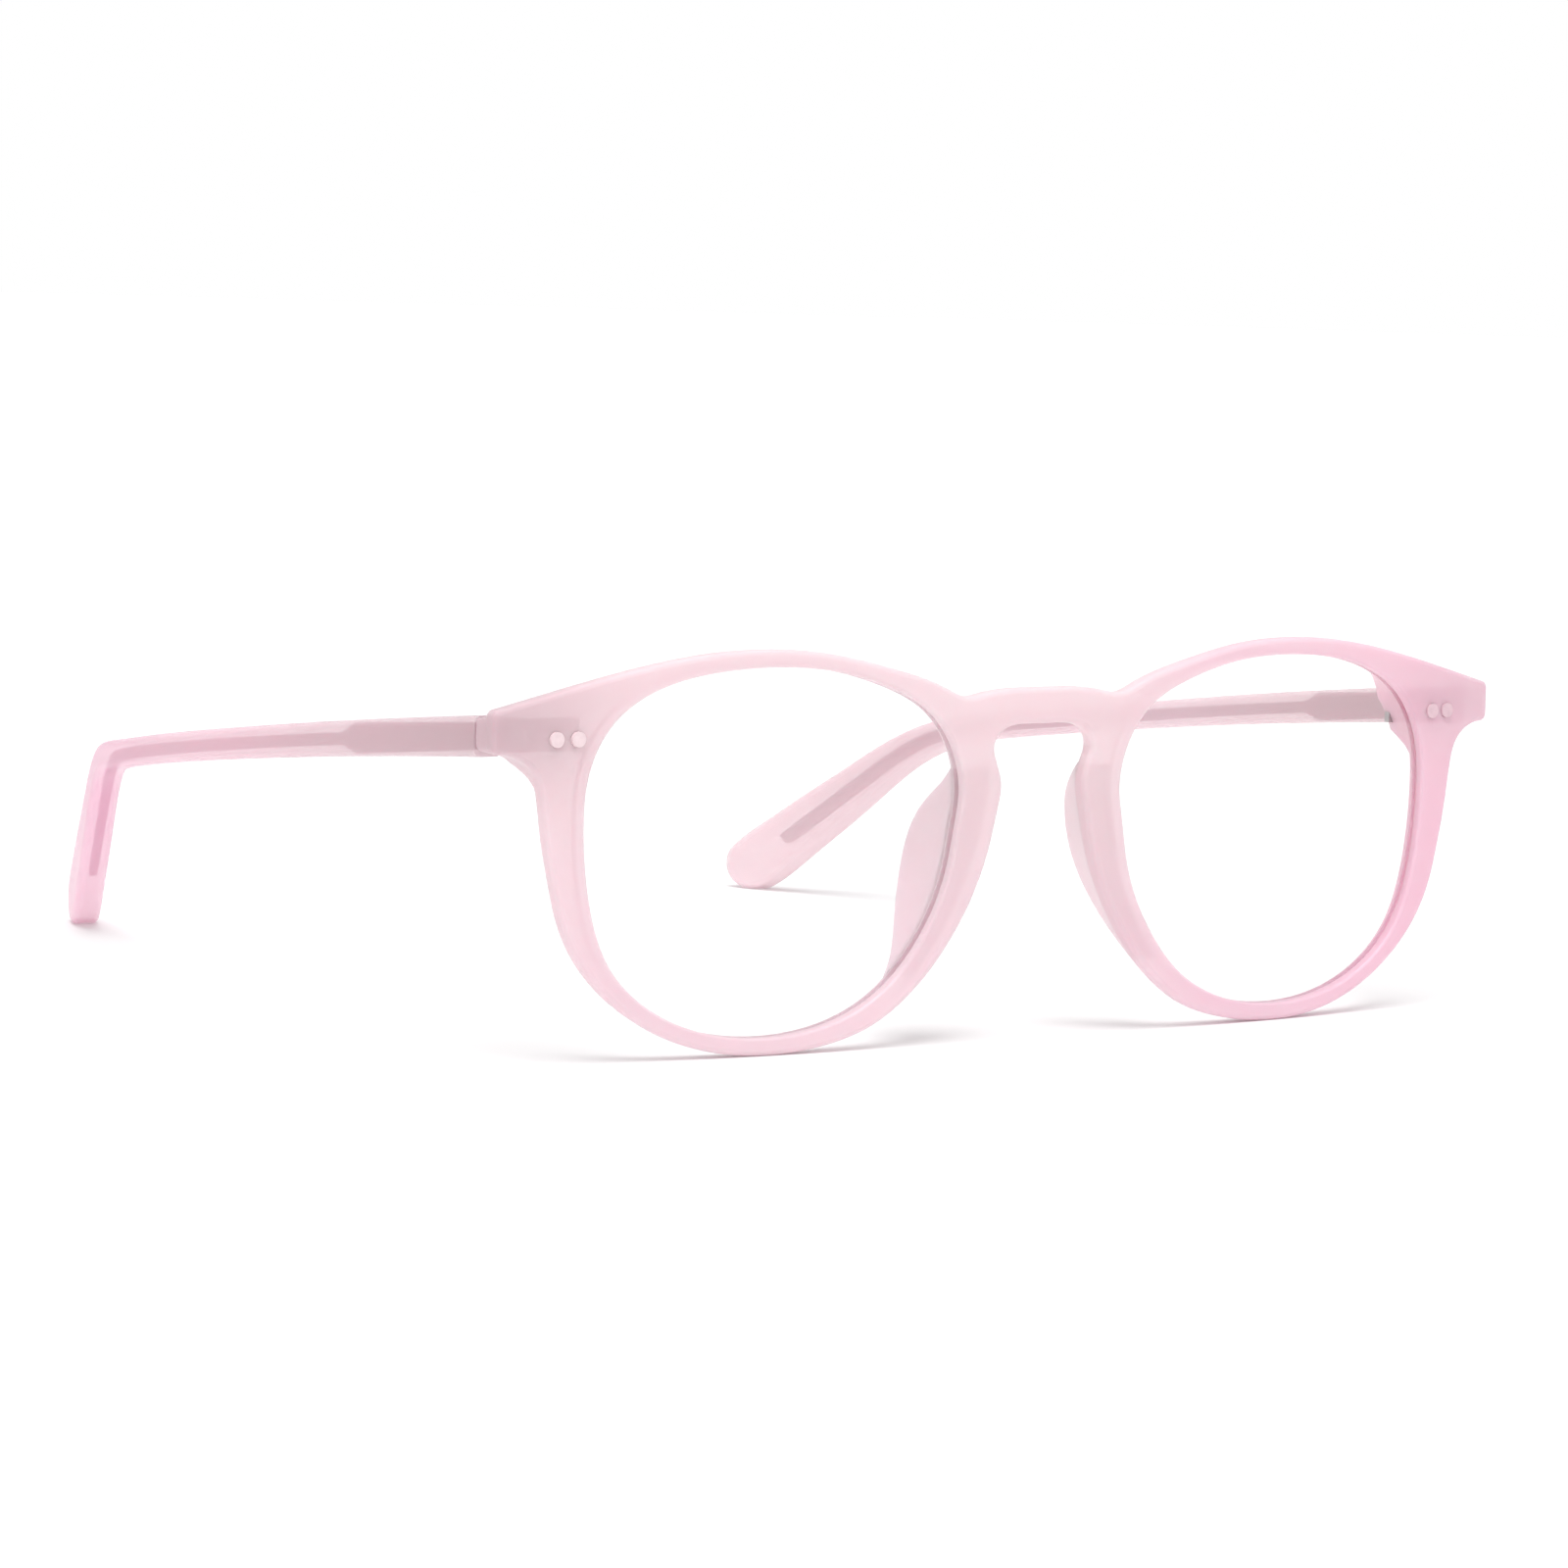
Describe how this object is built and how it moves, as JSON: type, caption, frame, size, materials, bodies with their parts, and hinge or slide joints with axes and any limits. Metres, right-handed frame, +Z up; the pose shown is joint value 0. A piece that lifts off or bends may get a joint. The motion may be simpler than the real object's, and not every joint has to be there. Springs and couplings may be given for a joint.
{
  "type": "blue light glasses",
  "caption": "Plastic eyeglasses with round clear blue light filter lenses, a keyhole bridge and folding wire-cored temples.",
  "frame": {"origin": "middle of the bounding box's bottom face: the table that the open glasses stand on", "axes": "+Z up, the front faces -Y, the temples run back along +Y, +X is the wearer's left"},
  "size_m": [0.1466, 0.135, 0.0448],
  "materials": {
    "front_acetate": "satin translucent pink acetate",
    "pad_acetate": "satin translucent pink acetate",
    "temple_acetate": "satin translucent pink acetate",
    "lens": "clear, very faint coating tint",
    "hinge_metal": "nickel silver, lightly brushed",
    "screw_metal": "steel",
    "rivet_metal": "pale pink lacquer, satin",
    "core_metal": "nickel silver wire"
  },
  "bodies": {
    "front": {"front_frame": "front_acetate", "lens_right": "lens", "nose_pad_right": "pad_acetate", "front_hinge_right": "hinge_metal", "hinge_screw_right": "screw_metal", "lens_left": "lens", "nose_pad_left": "pad_acetate", "front_hinge_left": "hinge_metal", "hinge_screw_left": "screw_metal", "rivet_right_outer": "rivet_metal", "rivet_right_inner": "rivet_metal", "rivet_left_outer": "rivet_metal", "rivet_left_inner": "rivet_metal"},
    "temple_right_body": {"temple_right": "temple_acetate", "temple_core_right": "core_metal", "temple_hinge_right": "hinge_metal"},
    "temple_left_body": {"temple_left": "temple_acetate", "temple_core_left": "core_metal", "temple_hinge_left": "hinge_metal"}
  },
  "joints": [
    {"name": "fold_right", "type": "hinge", "parent": "front", "child": "temple_right_body", "pos_m": [-0.065, -0.05846, 0.0356], "axis": [0, 0, -1], "range_deg": [0, 74]},
    {"name": "fold_left", "type": "hinge", "parent": "front", "child": "temple_left_body", "pos_m": [0.065, -0.05846, 0.0356], "axis": [0, 0, 1], "range_deg": [0, 82]}
  ]
}
